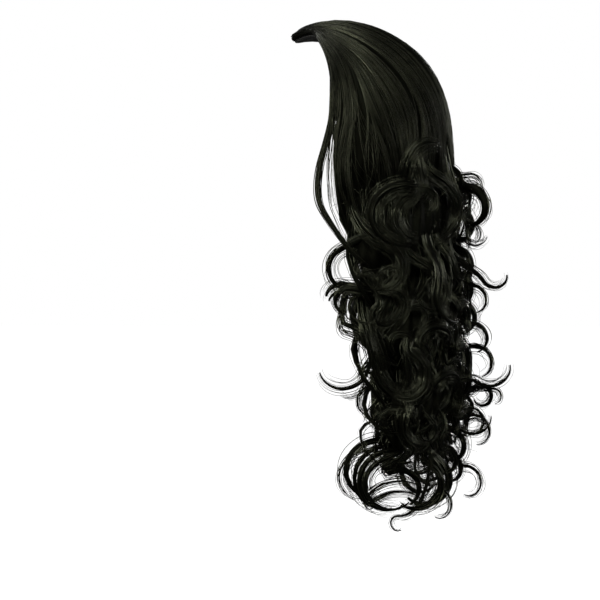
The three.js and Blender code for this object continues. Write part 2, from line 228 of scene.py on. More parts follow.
# Closed surfaces from rings of points: four-sided faces from ring to ring, and both end rings capped.
def ringed(points, tone):
    count, sections, sides = points.shape[:3]
    index = np.arange(count * sections * sides).reshape(count, sections, sides)
    turned = np.roll(index, -1, axis=2)
    quads = np.stack([index[:, :-1], turned[:, :-1], turned[:, 1:], index[:, 1:]], -1).reshape(-1, 4)
    ends = np.concatenate([index[:, 0, ::-1], index[:, -1]])
    u, v = np.meshgrid(np.arange(sides) / sides, np.arange(sections) / (sections - 1))
    du, dv = 1 / sides, 1 / (sections - 1)
    corners = [np.stack(corner, -1) for corner in ((u, v), (u + du, v), (u + du, v + dv), (u, v + dv))]
    corners = np.stack(corners, 2)[:-1]
    quadUv = np.broadcast_to(corners, (count,) + corners.shape).reshape(-1, 2)
    tones = np.broadcast_to(np.asarray(tone)[:, None, None], (count, sections, sides)).ravel()
    uv = [quadUv, np.zeros((ends.size, 2))]
    return {"points": points.reshape(-1, 3), "faces": [quads, ends], "uv": uv, "tone": tones}


# Closed tubes on many paths at once: an ellipse of two half sizes at every section, fluted round its edge.
def tubes(paths, across, outwards, wide, thick, sides, tone, flute=0.0):
    turn = np.arange(sides) * 2 * np.pi / sides
    swell = 1 + flute * np.cos(turn * tubeFlutes)
    a = (np.cos(turn) * swell)[None, None, :, None] * np.asarray(wide)[..., None, None]
    b = (np.sin(turn) * swell)[None, None, :, None] * np.asarray(thick)[..., None, None]
    return ringed(paths[:, :, None] + across[:, :, None] * a + outwards[:, :, None] * b, tone)


# Thin closed strands that taper to their tips with the square of the share.
def strandTubes(paths, radius, tone, tip=0.3):
    across, outwards = carriedFrames(paths)
    share = np.linspace(0, 1, paths.shape[1])
    size = np.asarray(radius)[:, None] * mix(1, tip, share ** 2)[None]
    return tubes(paths, across, outwards, size, size, strandSides, tone)


# A closed shell between two grids of points: both grids and a strip round their four edges, all turned
# outwards by the sign of the volume that they hold.
def shell(outer, inner, tone):
    rows, columns = outer.shape[:2]
    a = np.arange(rows * columns).reshape(rows, columns)
    b = a + rows * columns
    front = np.stack([a[:-1, :-1], a[1:, :-1], a[1:, 1:], a[:-1, 1:]], -1).reshape(-1, 4)
    back = np.stack([b[:-1, :-1], b[:-1, 1:], b[1:, 1:], b[1:, :-1]], -1).reshape(-1, 4)
    edge = np.concatenate([a[:, 0], a[-1, 1:], a[-2::-1, -1], a[0, -2:0:-1]])
    under = edge + rows * columns
    strip = np.stack([np.roll(edge, -1), edge, under, np.roll(under, -1)], -1)
    faces = np.concatenate([front, back, strip])
    v, u = np.meshgrid(np.linspace(0, 1, columns), np.linspace(0, 1, rows))
    uv = np.concatenate([np.stack([u, v], -1).reshape(-1, 2)] * 2)
    tones = np.broadcast_to(np.asarray(tone, float), (rows, columns)).ravel()
    points = np.concatenate([outer.reshape(-1, 3), inner.reshape(-1, 3)])
    corner = points[faces]
    volume = (np.cross(corner[:, 0], corner[:, 1]) * corner[:, 2]).sum()
    volume = volume + (np.cross(corner[:, 0], corner[:, 2]) * corner[:, 3]).sum()
    faces = faces if volume > 0 else faces[:, ::-1]
    return {"points": points, "faces": [faces], "uv": [uv[faces].reshape(-1, 2)], "tone": np.tile(tones, 2)}


# One object from closed parts: their points, faces, UV and tones one after another, as whole arrays.
def makeMesh(name, parts, material, nodes):
    points, loops, sizes, uvs, tones, base = [], [], [], [], [], 0
    for part in parts:
        points.append(part["points"])
        tones.append(part["tone"])
        for faces, uv in zip(part["faces"], part["uv"]):
            loops.append(faces.ravel() + base)
            sizes.append(np.full(len(faces), faces.shape[1]))
            uvs.append(uv)
        base += len(part["points"])
    points, loops, sizes = np.concatenate(points) * toMetres, np.concatenate(loops), np.concatenate(sizes)
    mesh = bpy.data.meshes.new(name)
    mesh.vertices.add(len(points))
    mesh.vertices.foreach_set("co", points.ravel())
    mesh.loops.add(len(loops))
    mesh.loops.foreach_set("vertex_index", loops.astype(np.int32))
    mesh.polygons.add(len(sizes))
    mesh.polygons.foreach_set("loop_start", (np.cumsum(sizes) - sizes).astype(np.int32))
    mesh.update(calc_edges=True)
    mesh.polygons.foreach_set("use_smooth", np.ones(len(sizes), bool))
    mesh.uv_layers.new(name="hairUv").data.foreach_set("uv", np.concatenate(uvs).ravel())
    mesh.attributes.new("tone", "FLOAT", "POINT").data.foreach_set("value", np.concatenate(tones))
    mesh.materials.append(material)
    piece = bpy.data.objects.new(name, mesh)
    bpy.context.collection.objects.link(piece)
    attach(piece, "root")
    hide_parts(*nodes)
    print(name, "made with", int((sizes - 2).sum()), "triangles")


# A new material, with its nodes, links and shader.
def newMaterial(name):
    material = bpy.data.materials.new(name)
    material.use_nodes = True
    nodes, links = material.node_tree.nodes, material.node_tree.links
    return material, nodes, links, nodes["Principled BSDF"]


# A new node of a kind, with the named inputs set.
def addNode(nodes, kind, inputs):
    node = nodes.new("ShaderNode" + kind)
    for name, value in inputs.items():
        node.inputs[name].default_value = value
    return node


# Links between nodes, each given as a node, its output, the next node and its input.
def wire(links, *rows):
    for source, output, into, name in rows:
        links.new(source.outputs[output], into.inputs[name])


# A ramp between two colours, each with its place from 0 to 1.
def addRamp(nodes, first, firstAt, last, lastAt):
    ramp = nodes.new("ShaderNodeValToRGB")
    for element, colour, place in zip(ramp.color_ramp.elements, (first, last), (firstAt, lastAt)):
        element.position = place
        element.color = colour + (1,)
    return ramp


# Finishes of the hair: what all four share, with the bump's depth in metres, then the shells and bodies, then
# the strands on them. The shells and bodies are shaded copies of the strands' finishes: their light colour is
# lower, as painted shade under the strands.
hairBase = {
    "dark": (0.0002, 0.0002, 0.0001), "tint": (0.95, 1, 0.64), "streakDetail": 4, "streakRoughness": 0.65,
    "patches": 40, "patchDetail": 2, "patchShare": 0.3, "darkAt": 0.15, "lightAt": 0.85, "bumpDepth": 0.001,
}
# Shaded copy of the combed strands' finish: its darker light colour is painted shade under the combed
# strands.
crownShadedLook = {
    "name": "combed_black_hair_painted_shade", "streaks": (240, 3, 1), "light": (0.0022, 0.0024, 0.0016),
    "roughness": (0.45, 0.6), "bump": 0.5, "specular": 0.02,
}
# Shaded copy of the curled strands' finish: its darker light colour is painted shade under the curled
# strands.
curlShadedLook = {
    "name": "curled_black_hair_painted_shade", "streaks": (26, 5, 1), "light": (0.0016, 0.0018, 0.0012),
    "roughness": (0.4, 0.6), "bump": 0.45, "specular": 0.03,
}
combedLook = {
    "name": "combed_hair_strands", "streaks": (1, 6, 1), "light": (0.0034, 0.0036, 0.0024),
    "roughness": (0.22, 0.42), "bump": 0.05, "specular": 0.185,
}
strandLook = {
    "name": "curled_hair_strands", "streaks": (1, 8, 1), "light": (0.0034, 0.0036, 0.0024),
    "roughness": (0.13, 0.27), "bump": 0.05, "specular": 0.38,
}


# Hair: the colour runs from dark to light by streak times tone plus a part of the patches. Streaks follow
# each piece's own UV, the tone is each strand's own and on shells and bodies is also lowered as painted
# shade, and the streaks also set the roughness and the bump.
def hairMaterial(look):
    values = {**hairBase, **look}
    material, nodes, links, shader = newMaterial(values["name"])
    uv = nodes.new("ShaderNodeUVMap")
    uv.uv_map = "hairUv"
    stretch = addNode(nodes, "Mapping", {"Scale": values["streaks"]})
    streak = addNode(nodes, "TexNoise", {
        "Scale": 1, "Detail": values["streakDetail"], "Roughness": values["streakRoughness"]})
    place = nodes.new("ShaderNodeTexCoord")
    patch = addNode(nodes, "TexNoise", {"Scale": values["patches"], "Detail": values["patchDetail"]})
    tone = nodes.new("ShaderNodeAttribute")
    tone.attribute_name = "tone"
    both = nodes.new("ShaderNodeMath")
    both.operation = "MULTIPLY"
    shade = nodes.new("ShaderNodeMath")
    shade.operation = "MULTIPLY_ADD"
    shade.inputs[1].default_value = values["patchShare"]
    ramp = addRamp(nodes, values["dark"], values["darkAt"], values["light"], values["lightAt"])
    rough = addNode(nodes, "MapRange", {"To Min": values["roughness"][0], "To Max": values["roughness"][1]})
    bump = addNode(nodes, "Bump", {"Strength": values["bump"], "Distance": values["bumpDepth"]})
    wire(
        links, (uv, "UV", stretch, "Vector"), (stretch, "Vector", streak, "Vector"),
        (place, "Object", patch, "Vector"), (streak, "Fac", both, 0), (tone, "Fac", both, 1),
        (patch, "Fac", shade, 0), (both, "Value", shade, 2), (shade, "Value", ramp, "Fac"),
        (ramp, "Color", shader, "Base Color"), (streak, "Fac", rough, "Value"),
        (rough, "Result", shader, "Roughness"), (streak, "Fac", bump, "Height"),
        (bump, "Normal", shader, "Normal"),
    )
    shader.inputs["Specular IOR Level"].default_value = values["specular"]
    shader.inputs["Specular Tint"].default_value = values["tint"] + (1,)
    return material


crownShadedMaterial = hairMaterial(crownShadedLook)
curlShadedMaterial = hairMaterial(curlShadedLook)
combedMaterial = hairMaterial(combedLook)
strandMaterial = hairMaterial(strandLook)
print("hair finishes made")

# The route that the combed shell and its strands share. Pairs give the angles, or the drops below the top,
# between which a change sets in.
routeSizes = {
    "over": 0.62, "easing": 8, "lastEasing": 2, "partings": (-70.5, -52, -24, 12, 36, 56.5, 70.5),
    "partFrom": (0.05, 0.3), "foreFrom": (68, 73), "foreSpread": 14, "foreMiddle": 0.45, "gatherAt": 52,
    "gatherFrom": (22, 40), "gatherDrop": (90, 140), "bow": 17, "bowShare": (0.4, 1.2), "bowTop": 92,
    "bowLength": 120, "edgeTo": 93, "edgeFrom": (84, 87), "edgeDrop": (92, 130), "foremost": 90, "pull": 0.4,
}


# Points put back on the outside of the hair: the swelled dome above its widest level, the fall below it.
def settled(paths, way, lift):
    x, y, z = np.moveaxis(paths, -1, 0)
    side, top = combedDepth(way)
    high, join = dome["halfHeight"], fall["joinDepth"]
    ray = vectors(x / (dome["halfWidth"] + side), y / (dome["halfLength"] + top), (z + high) / (high + top))
    side, top = np.maximum(side + lift, combed["clear"]), np.maximum(top + lift, combed["clear"])
    above = overDome(unit(ray), side, top)
    front = fallAt("front", z)
    heading = np.arctan2(x / fallAt("halfWidth", z), (y - front) / (fallAt("back", z) - front))
    below = hanging(np.degrees(heading), z, -lift)
    return mix(below, above, smooth(z, -high - join, -high + join)[..., None])


# The combed route: over the dome for the first part of its length, then down the fall to its own end. Hair at
# the sides is gathered to one angle, the foremost hangs in a sine bow, and the edge runs on to the ear lock.
def combedPath(angle, share, end, lift, pull):
    s, steep = routeSizes, np.abs(angle)
    way = np.clip(share / s["over"], 0, 1)
    down = np.clip((share - s["over"]) / (1 - s["over"]), 0, 1)
    height = mix(-dome["halfHeight"], end, down)
    fore = smooth(steep + s["foreSpread"] * (s["foreMiddle"] - pull), *s["foreFrom"])
    among = smooth(steep, *s["gatherFrom"]) * (1 - fore)
    gather = pull * (s["gatherAt"] - steep) * among * smooth(-height, *s["gatherDrop"])
    atEdge = smooth(steep, *s["edgeFrom"])
    bowed = np.sin(np.pi * np.clip((-height - s["bowTop"]) / s["bowLength"], 0, 1))
    bow = s["bow"] * mix(*s["bowShare"], pull) * (fore * (1 - atEdge)) * bowed
    edge = (s["edgeTo"] - steep) * atEdge * smooth(-height, *s["edgeDrop"])
    turned = np.minimum(steep + gather + bow, s["foremost"]) + edge
    under = hanging(np.sign(angle) * turned, height, -lift)
    route = np.where((share < s["over"])[..., None], onCrown(angle, way, 0 * lift), under)
    return eased(settled(eased(route, s["easing"]), way, lift), s["lastEasing"])


# Crown shell: a ridged closed sheet under the combed strands, rolled under along its front edge, darker than
# the strands as painted shade between them.
shellSizes = {
    "columns": 160, "rows": 48, "halfTurn": 89, "rowBias": 1.4, "sunk": 1.4, "thick": 2.4, "ridge": 0.5,
    "ridgeTurns": (1.9, 0.83, 4.7), "ridgeDrift": (3, -2, 0), "ridgeStart": (0, 1.3, 0),
    "ridgeFrom": (0.02, 0.25), "groove": 1.2, "grooveWide": 1.3, "endSink": 4, "lip": 4.5, "lipTo": 0.035,
    "lowest": -126, "hem": 8, "hemTurns": 0.37, "hemRise": 22, "hemFrom": (74, 86), "tone": 0.3,
    "ridgePaintedShade": 0.12,
}


# The combed route over a grid of angles and shares, lifted by three sines, less a bell at each parting. Its
# tone rises and falls with the same sines, darker in the troughs as painted shade.
def crownShell():
    s, route = shellSizes, routeSizes
    angle = np.linspace(-s["halfTurn"], s["halfTurn"], s["columns"])[:, None]
    share = np.linspace(0, 1, s["rows"])[None] ** s["rowBias"]
    waves = zip(s["ridgeTurns"], s["ridgeDrift"], s["ridgeStart"])
    ridges = sum(np.sin(angle * turns + drift * share + start) for turns, drift, start in waves)
    aside = angle[..., None] - np.array(route["partings"])
    groove = np.exp(-(aside / s["grooveWide"]) ** 2).sum(-1) * smooth(share, *route["partFrom"])
    lift = s["ridge"] * ridges * smooth(share, *s["ridgeFrom"]) - s["sunk"] - s["groove"] * groove
    lift = lift - s["endSink"] * smooth(share, route["over"], 1)
    lift = lift - s["lip"] * (1 - smooth(share, 0, s["lipTo"]))
    angle, share = np.broadcast_arrays(angle, share)
    hem = s["hem"] * np.sin(angle * s["hemTurns"]) + s["hemRise"] * smooth(np.abs(angle), *s["hemFrom"])
    outer = combedPath(angle, share, s["lowest"] + hem, lift, route["pull"])
    inner = combedPath(angle, share, s["lowest"] + hem, lift - s["thick"], route["pull"])
    # Painted shade: the tone follows the ridges, darker in the troughs between them.
    return shell(outer, inner, s["tone"] + s["ridgePaintedShade"] * ridges)


# Crown strands: fine combed hair in clumps, from the front edge down into the curls.
combedSizes = {
    "seed": 11, "strands": 1300, "points": 24, "radius": (0.22, 0.44), "clumps": 84, "halfTurn": 86,
    "limit": 88, "clumpJitter": 0.7, "clumpSpread": 1.5, "clumpNarrow": (1.3, 0.7), "narrowBy": 0.8,
    "waver": 0.5, "feather": 0.025, "partPush": 2.0, "partWide": 2.4, "depth": (-1.6, 0.6), "clumpRise": 0.5,
    "riseStep": 2.4, "roll": 0.5, "rollWaves": 26, "rollStart": 6.3, "ripple": 0.2, "rippleWaves": 40,
    "tuck": 4, "tuckTo": 0.035, "dive": 8, "diveFrom": (0.78, 0.93), "diveTurn": (62, 72), "diveTo": 1.001,
    "ends": (-186, -124), "endSpread": 10, "frontDrop": 48, "dropTurn": (70, 78), "gather": (0.05, 0.85),
    "gatherSpread": 0.08, "looseSink": 1.2, "toneShape": (2, 2.4), "clumpTone": 0.25, "toneStep": 3.7,
    "toneRange": (0.05, 1),
}


# The combed route at seeded angles, pushed off the partings by bells, lifted by the clump's own rolls, tucked
# under at the front edge and dived into the fall at the ends.
def crownStrands():
    s, rng = combedSizes, np.random.default_rng(combedSizes["seed"])
    count, clumps = s["strands"], s["clumps"]
    centre = np.linspace(-s["halfTurn"], s["halfTurn"], clumps) + rng.normal(0, s["clumpJitter"], clumps)
    which = rng.integers(0, clumps, count)
    first = rng.uniform(0, s["feather"], count)[:, None]
    share = mix(first, 1, np.linspace(0, 1, s["points"])[None])
    away = rng.normal(0, s["clumpSpread"], count)[:, None]
    waver = rng.normal(0, s["waver"], count)[:, None]
    waver = waver * np.sin(2 * np.pi * (share + rng.random(count)[:, None]))
    narrow = mix(*s["clumpNarrow"], smooth(share, 0, s["narrowBy"]))
    angle = np.clip(centre[which][:, None] + away * narrow + waver, -s["limit"], s["limit"])
    aside = angle[..., None] - np.array(routeSizes["partings"])
    pushed = (s["partPush"] * np.sign(aside) * np.exp(-(aside / s["partWide"]) ** 2)).sum(-1)
    angle = angle + pushed * smooth(share, *routeSizes["partFrom"])
    lift = rng.uniform(*s["depth"], count)[:, None] + s["clumpRise"] * np.sin(which * s["riseStep"])[:, None]
    phase = rng.uniform(0, s["rollStart"], clumps)[which][:, None]
    lift = lift + s["roll"] * np.sin(s["rollWaves"] * share + phase)
    lift = lift + rng.normal(0, s["ripple"], count)[:, None] * np.sin(s["rippleWaves"] * share)
    dives = mix(*s["diveFrom"], smooth(np.abs(angle), *s["diveTurn"]))
    lift = lift - s["tuck"] * (1 - smooth(share, first, first + s["tuckTo"]))
    lift = lift - s["dive"] * smooth(share, dives, s["diveTo"])
    ends = rng.uniform(*s["ends"], clumps)[which] + rng.normal(0, s["endSpread"], count)
    end = ends[:, None] - s["frontDrop"] * smooth(np.abs(angle), *s["dropTurn"])
    pull = rng.uniform(*s["gather"], clumps)[which] + rng.normal(0, s["gatherSpread"], count)
    pull = np.clip(pull, *s["gather"])[:, None]
    paths = combedPath(angle, share, end, lift - s["looseSink"] * (1 - pull), pull)
    radius = rng.uniform(*s["radius"], count)
    tone = rng.beta(*s["toneShape"], count) + s["clumpTone"] * np.sin(which * s["toneStep"])
    return strandTubes(paths, radius, np.clip(tone, *s["toneRange"]))


makeMesh("crown_shell", [crownShell()], crownShadedMaterial, ["crown_hair"])
makeMesh("crown_strands", [crownStrands()], combedMaterial, ["crown_hair"])

# Fall: a wavy mass of hair behind the locks, one part to each side, nearly black as painted shade behind the
# locks.
massSizes = {
    "columns": 60, "rows": 44, "top": -100, "bottom": -402, "scallop": 14, "scallops": 9, "scallopStart": 1,
    "edgeDrop": [100, 150, 195, 216, 250, 262, 288, 312, 330, 350, 367, 400],
    "edgeAngle": [86, 90, 90, 84, 79, 82, 86, 84, 79, 79, 84, 87],
    "limits": {"left": (32, 86), "back": (-32, 32), "right": (-86, -32)}, "edgeUnit": 86, "ripple": 1.2,
    "ripples": 40, "rippleRun": 1.5, "rippleDrop": (110, 170), "sunk": (2.5, 9), "sunkDrop": (105, 175),
    # The mass's tone of 0.05 is painted shade: a near-black sheet where the hollows behind the locks lie in
    # shadow.
    "wall": (2.8, 15), "wallDrop": (110, 200), "thinning": 0.8, "thinFrom": 0.8, "tone": 0.05,
}


# The fall moved in by its depth, less slanted sine waves and finer ripples; its wall thins at the bottom.
def fallMass(first, last):
    s = massSizes
    angle = np.linspace(first, last, s["columns"])[:, None]
    share = np.linspace(0, 1, s["rows"])[None]
    bottom = s["bottom"] + s["scallop"] * np.sin(np.radians(angle) * s["scallops"] + s["scallopStart"])
    angle, share, bottom = np.broadcast_arrays(angle, share, bottom)
    height = mix(s["top"], bottom, share)
    angle = angle * np.interp(-height, s["edgeDrop"], s["edgeAngle"]) / s["edgeUnit"]
    turn = 2 * np.pi * height / fall["waveLength"] + np.radians(angle) * fall["waveSlant"]
    ripple = s["ripple"] * np.sin(np.radians(angle) * s["ripples"] + turn * s["rippleRun"])
    wave = fallAt("wave", height) * np.sin(turn) + ripple * smooth(-height, *s["rippleDrop"])
    sunk = mix(*s["sunk"], smooth(-height, *s["sunkDrop"]))
    wall = mix(*s["wall"], smooth(-height, *s["wallDrop"]))
    wall = wall * (1 - s["thinning"] * smooth(share, s["thinFrom"], 1))
    return shell(hanging(angle, height, sunk - wave), hanging(angle, height, sunk - wave + wall), s["tone"])


# Each column of the rows with more axes behind its own, one for each that the strands add.
def raised(rows, dims):
    return {name: np.asarray(value, float).reshape((-1,) + (1,) * dims) for name, value in rows.items()}


# The rows that are kept, in every column.
def chosen(rows, keep):
    return {name: value[keep] for name, value in rows.items()}


# What all locks share: the body's outline and tone, and how the strands fill and leave it.
lockShape = {
    "gathered": 0.75, "fullBy": 0.25, "taper": 2.5, "bodyLength": 0.96, "bodyPaintedShade": 0.3, "flute": 0.12,
    "fanOut": 0.5, "length": (0.84, 1.0), "fill": (0.25, 1.3), "drift": 0.7, "looseTip": 0.4,
    "looseFrom": 0.55, "wavers": (1, 3), "sinkTo": (0.1, 0.5), "toneSpread": 0.25, "toneRange": (0.03, 1),
    "strandTip": 0.25,
}


# How full a lock is along its length: gathered at its root, full soon after, thinner to its tip by a power.
def swelling(share, tip):
    full = lockShape["gathered"] + (1 - lockShape["gathered"]) * smooth(share, 0, lockShape["fullBy"])
    return full * mix(1, tip, share ** lockShape["taper"])


# A lock: a slim body on its path, darker than its strands as painted shade inside the lock, and strands on
# the same path with a radius and a length of their own.
# Each keeps a place in the ellipse of the lock, drifts round it, wavers by a sine and spreads at its end.
def dressed(pathOf, axis, rows, sizes, rng):
    s, count, each, points = lockShape, len(rows["tone"]), sizes["strands"], sizes["points"]
    share = np.broadcast_to(np.linspace(0, 1, sizes["bodyPoints"]), (count, sizes["bodyPoints"]))
    paths = pathOf(raised(rows, 1), share * s["bodyLength"])
    across, outwards = framesOf(paths, axis[:, None])
    full = swelling(share, sizes["bodyTip"]) * sizes["bodyShare"]
    flat, deep = rows["flat"][:, None] * full, rows["deep"][:, None] * full
    # Painted shade: the body's tone is only a share of the lock's tone.
    tone = rows["tone"] * s["bodyPaintedShade"]
    body = tubes(paths, across, outwards, deep, flat, sizes["bodySides"], tone, s["flute"])
    share = np.broadcast_to(np.linspace(0, 1, points), (count, each, points))
    own = (count, each, 1)
    moved = {name: value + 0 * share[..., :1] for name, value in raised(rows, 2).items()}
    moved["radius"] = moved["radius"] * rng.uniform(1 - sizes["fan"], 1 + s["fanOut"] * sizes["fan"], own)
    paths = pathOf(moved, share * rng.uniform(*s["length"], own))
    across, outwards = framesOf(paths, axis[:, None, None])
    place, reach = rng.uniform(0, 2 * np.pi, own), np.sqrt(rng.uniform(*s["fill"], own))
    drift = place + rng.normal(0, s["drift"], own) * share
    spread = 1 + sizes["loose"] * smooth(share, s["looseFrom"], 1) * rng.random(own)
    loose = swelling(share, s["looseTip"]) * spread
    waver = sizes["frizz"] * np.sin(2 * np.pi * (rng.uniform(*s["wavers"], own) * share + rng.random(own)))
    moveFlat = np.sin(drift) * reach * loose * moved["flat"] + waver * rng.normal(0, 1, own)
    moveDeep = np.cos(drift) * reach * loose * moved["deep"] + waver * rng.normal(0, 1, own)
    moveDeep = moveDeep - sizes["sink"] * rng.random(own) * (1 - smooth(share, *s["sinkTo"]))
    paths = (paths + outwards * moveFlat[..., None] + across * moveDeep[..., None]).reshape(-1, points, 3)
    radius = rng.uniform(*sizes["strandRadius"], count * each)
    tone = np.repeat(rows["tone"], each) + rng.normal(0, s["toneSpread"], count * each)
    return body, strandTubes(paths, radius, np.clip(tone, *s["toneRange"]), s["strandTip"])


# Hanging locks: an outer and an inner row round the fall, drawn from seeded ranges.
lockSizes = {
    "outer": 60, "inner": 34, "outerTurn": 82, "innerTurn": 76, "jitter": 1.5, "bodyPoints": 34,
    "bodySides": 6, "seed": 5, "strands": 7, "points": 34, "strandRadius": (0.26, 0.48), "bodyShare": 0.62,
    "bodyTip": 0.1, "fan": 0.18, "loose": 0.7, "frizz": 0.6, "sink": 0, "flat": (3.4, 6.8),
    "deep": (2.8, 4.4), "tone": (0.1, 0.8), "innerBottom": (-440, -400), "outerBottom": (-436, -382),
    "innerInset": (16, 28), "outerInset": (8, 14), "top": (-160, -130), "root": 12.5, "radius": (9, 17),
    "turnsFrom": -100, "pitch": (88, 125), "lean": (30, 80), "swing": (90, 35), "hands": [1, 1, -1],
    "curlStart": (0.04, 0.12), "opens": 0.25, "slowing": 1.5,
}


# One row for each lock: evenly set headings with a seeded shift, and the rest from its own range.
def lockRows():
    s, rng = lockSizes, np.random.default_rng(lockSizes["seed"])
    count = s["outer"] + s["inner"]
    inner = np.arange(count) >= s["outer"]
    outerAngle = np.linspace(-s["outerTurn"], s["outerTurn"], s["outer"])
    innerAngle = np.linspace(-s["innerTurn"], s["innerTurn"], s["inner"])
    angle = np.concatenate([outerAngle, innerAngle]) + rng.normal(0, s["jitter"], count)
    bottom = np.where(inner, rng.uniform(*s["innerBottom"], count), rng.uniform(*s["outerBottom"], count))
    return {
        "angle": angle, "bottom": bottom, "root": np.full(count, s["root"]),
        "top": rng.uniform(*s["top"], count),
        "inset": np.where(inner, rng.uniform(*s["innerInset"], count), rng.uniform(*s["outerInset"], count)),
        "radius": rng.uniform(*s["radius"], count),
        "turns": (s["turnsFrom"] - bottom) / rng.uniform(*s["pitch"], count),
        "lean": rng.uniform(*s["lean"], count), "swing": rng.normal(*s["swing"], count),
        "phase": rng.uniform(0, 360, count), "hand": np.sign(angle) * rng.choice(s["hands"], count),
        "curlStart": rng.uniform(*s["curlStart"], count), "flat": rng.uniform(*s["flat"], count),
        "deep": rng.uniform(*s["deep"], count), "tone": rng.uniform(*s["tone"], count),
    }


# The two directions that a hanging lock coils in: outwards turned level by the swing, and the level direction
# square to that, raised by the lean.
def coilPlane(rows):
    lean, swing = np.radians(rows["lean"]), np.radians(rows["swing"])
    outwards, sideways = outAndAlong(rows["angle"])
    first = outwards * np.cos(swing)[..., None] + sideways * np.sin(swing)[..., None]
    level = sideways * np.cos(swing)[..., None] - outwards * np.sin(swing)[..., None]
    return first, level * np.cos(lean)[..., None] + np.array([0, 0, 1.0]) * np.sin(lean)[..., None]


# A hanging curl: a leaning coil that opens below its root, follows the fall down and slows to a last loop.
def hangingPath(rows, share):
    s = lockSizes
    height = mix(rows["top"], rows["bottom"], 1 - (1 - share) ** s["slowing"])
    base = hanging(rows["angle"], height, mix(rows["root"], rows["inset"], smooth(share, 0, s["opens"])))
    first, second = coilPlane(rows)
    wide = rows["radius"] * smooth(share, rows["curlStart"], rows["curlStart"] + s["opens"])
    turn = rows["hand"] * 2 * np.pi * rows["turns"] * np.maximum(0, share - rows["curlStart"])
    turn = turn + np.radians(rows["phase"])
    return base + wide[..., None] * (first * np.cos(turn)[..., None] + second * np.sin(turn)[..., None])


groups = {"left": (30, 200), "back": (-30, 30), "right": (-200, -30)}  # headings of each group of curls
allLocks = lockRows()
lockRandom = np.random.default_rng(lockSizes["seed"] + 1)
bodies, hairs, curls = {}, {}, {}
for side, (low, high) in groups.items():
    rows = chosen(allLocks, (allLocks["angle"] > low) & (allLocks["angle"] <= high))
    body, hair = dressed(hangingPath, np.cross(*coilPlane(rows)), rows, lockSizes, lockRandom)
    bodies[side], hairs[side], curls[side] = [body, fallMass(*massSizes["limits"][side])], [hair], []
print("hanging locks computed")

# Curls that lie on the fall: centre angle and height, radius, start and end of the arc as seen from outside.
laidSizes = {
    "bodyPoints": 30, "bodySides": 8, "strands": 37, "points": 25, "strandRadius": (0.25, 0.46), "seed": 21,
    "bodyShare": 0.6, "bodyTip": 0.12, "fan": 0.26, "loose": 0.5, "frizz": 0.5, "sink": 2.5, "lift": 2,
    "liftFrom": (0.05, 0.45), "rootDepth": (7, 4.5), "depthUp": (-150, -110), "depthTo": 0.3,
    "mirrorOver": 30, "mirrorShift": 4, "mirrorDrop": 14, "mirrorRootDrop": 6,
}
laidColumns = [
    "angle", "up", "radius", "start", "end", "rootAngle", "rootUp", "flat", "deep", "lift", "tone",
]
laidRows = [
    (55, -193, 32, 75, 286, 42, -112, 8, 4, 6, 0.85),
    (47, -194, 24, 118, 262, 47, -124, 6, 4, 3, 0.5),
    (31, -148, 36, 178, 82, 54, -166, 4.5, 3, 5, 0.6),
    (47, -176, 15, 95, -80, 54, -150, 2.2, 2, 8, 0.5),
    (23, -269, 28, 165, 285, 38, -205, 8, 4, 6, 0.9),
    (17, -238, 14, 190, 350, 30, -205, 4, 3, 5, 0.6),
    (66, -342, 28, 55, -120, 46, -286, 7, 4, 8, 0.9),
    (57, -333, 38, 185, 280, 82, -262, 7, 4, 3, 0.5),
    (50, -390, 26, 150, 290, 66, -350, 6, 4, 4, 0.6),
    (87, -275, 15, 80, 250, 72, -258, 5, 3, 4, 0.5),
    (98, -338, 44, 75, -15, 91, -262, 3.4, 3, 1, 0.4),
    (74, -240, 26, 60, -110, 82, -180, 6, 4, 3, 0.4),
    (40, -320, 24, 40, 215, 30, -270, 6, 4, 4, 0.5),
    (30, -368, 26, 140, -60, 22, -320, 6, 4, 5, 0.6),
    (70, -398, 24, 30, 200, 74, -336, 5, 4, 2, 0.5),
    (44, -262, 20, 30, -150, 54, -215, 5, 3, 5, 0.6),
    (12, -290, 18, 110, -100, 16, -246, 5, 3, 5, 0.6),
    (4, -200, 30, 110, -80, 10, -116, 7, 4, 5, 0.75),
    (-10, -262, 28, 70, 262, -6, -190, 7, 4, 5, 0.65),
    (14, -338, 24, 120, -70, 4, -270, 6, 4, 5, 0.6),
    (-16, -352, 27, 60, 255, -8, -290, 6, 4, 5, 0.8),
    (6, -398, 24, 130, -60, 12, -345, 5, 4, 5, 0.5),
    (-22, -190, 26, 75, 250, -16, -118, 6, 4, 5, 0.7),
]


# A curl's plane wrapped round the fall, its root sunk and its arc lifted off.
def laidPath(rows, share):
    s = laidSizes
    across, up = curlPlane(rows, share)
    depth = mix(*s["rootDepth"], smooth(up, *s["depthUp"])) * (1 - smooth(share, 0, s["depthTo"]))
    lift = (rows["lift"] + s["lift"]) * smooth(share, *s["liftFrom"]) - depth
    return hanging(-np.degrees(across / fall["round"]), up, -lift)


# The listed curls, or the left ones mirrored to the right, a little lower and further round.
def laidTable(mirror):
    s, rows = laidSizes, dict(zip(laidColumns, np.array(laidRows, float).T))
    if mirror:
        rows = chosen(rows, rows["angle"] > s["mirrorOver"])
        rows["up"], rows["rootUp"] = rows["up"] - s["mirrorDrop"], rows["rootUp"] - s["mirrorRootDrop"]
        rows["angle"] = s["mirrorShift"] - rows["angle"]
        rows["rootAngle"] = s["mirrorShift"] - rows["rootAngle"]
        rows["start"], rows["end"] = 180 - rows["start"], 180 - rows["end"]
    return rows


